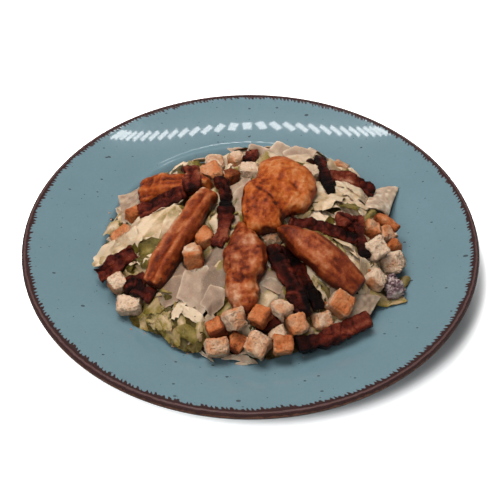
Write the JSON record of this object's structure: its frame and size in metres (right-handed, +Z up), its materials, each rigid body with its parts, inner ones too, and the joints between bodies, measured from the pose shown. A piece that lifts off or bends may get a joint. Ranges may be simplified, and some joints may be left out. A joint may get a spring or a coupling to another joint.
{
  "type": "chicken caesar salad on a plate",
  "caption": "Heap of dressed shredded lettuce on a wide-rimmed blue-grey plate, topped with fried chicken pieces, bacon strips, bread croutons and hard cheese shavings.",
  "frame": {"origin": "on the plate's axis, at the level of the surface that its foot ring stands on", "axes": "+Z up along the plate's axis; -Y is the eater's side, where the near croutons lie; +X to the eater's right"},
  "size_m": [0.27, 0.27, 0.0767],
  "materials": {
    "glaze": "glossy blue-grey reactive glaze with fine dark specks and a brown brushed edge",
    "leaves": "pale cream to yellow-green shredded lettuce, damp with dressing",
    "chicken": "seared golden to orange-brown meat with paler fibres, slightly oily",
    "bacon": "fried dark red-brown bacon with near-black bands, oily",
    "crouton": "dry porous bread with orange-brown toasted faces",
    "cheese": "dull pale cream hard cheese, finely grained",
    "red_leaf": "dark purple frilly leaf"
  },
  "bodies": {
    "root": {"plate": "glaze", "salad": "leaves", "chicken_back": "chicken", "chicken_front": "chicken", "chicken_left": "chicken", "chicken_right": "chicken", "chicken_top": "chicken", "bacon_back_flat": "bacon", "bacon_back_upright": "bacon", "bacon_far": "bacon", "bacon_far_right": "bacon", "bacon_far_right_dark": "bacon", "bacon_front_left": "bacon", "bacon_front_right": "bacon", "bacon_left_edge": "bacon", "bacon_left_end": "bacon", "bacon_left_under": "bacon", "bacon_near_edge": "bacon", "bacon_near_under": "bacon", "bacon_right_dark": "bacon", "bacon_right_fold": "bacon", "bacon_thin": "bacon", "bacon_twisted": "bacon", "crouton_01": "crouton", "crouton_02": "crouton", "crouton_03": "crouton", "crouton_04": "crouton", "crouton_05": "crouton", "crouton_06": "crouton", "crouton_07": "crouton", "crouton_08": "crouton", "crouton_09": "crouton", "crouton_10": "crouton", "crouton_11": "crouton", "crouton_12": "crouton", "crouton_13": "crouton", "crouton_14": "crouton", "crouton_15": "crouton", "crouton_16": "crouton", "crouton_17": "crouton", "crouton_18": "crouton", "crouton_19": "crouton", "crouton_20": "crouton", "crouton_21": "crouton", "crouton_22": "crouton", "crouton_23": "crouton", "crouton_24": "crouton", "crouton_25": "crouton", "crouton_26": "crouton", "crouton_27": "crouton", "crouton_28": "crouton", "crouton_29": "crouton", "crouton_30": "crouton", "crouton_31": "crouton", "crouton_32": "crouton", "crouton_33": "crouton", "cheese_left": "cheese", "cheese_near": "cheese", "cheese_right": "cheese", "red_leaf": "red_leaf"}
  },
  "joints": []
}
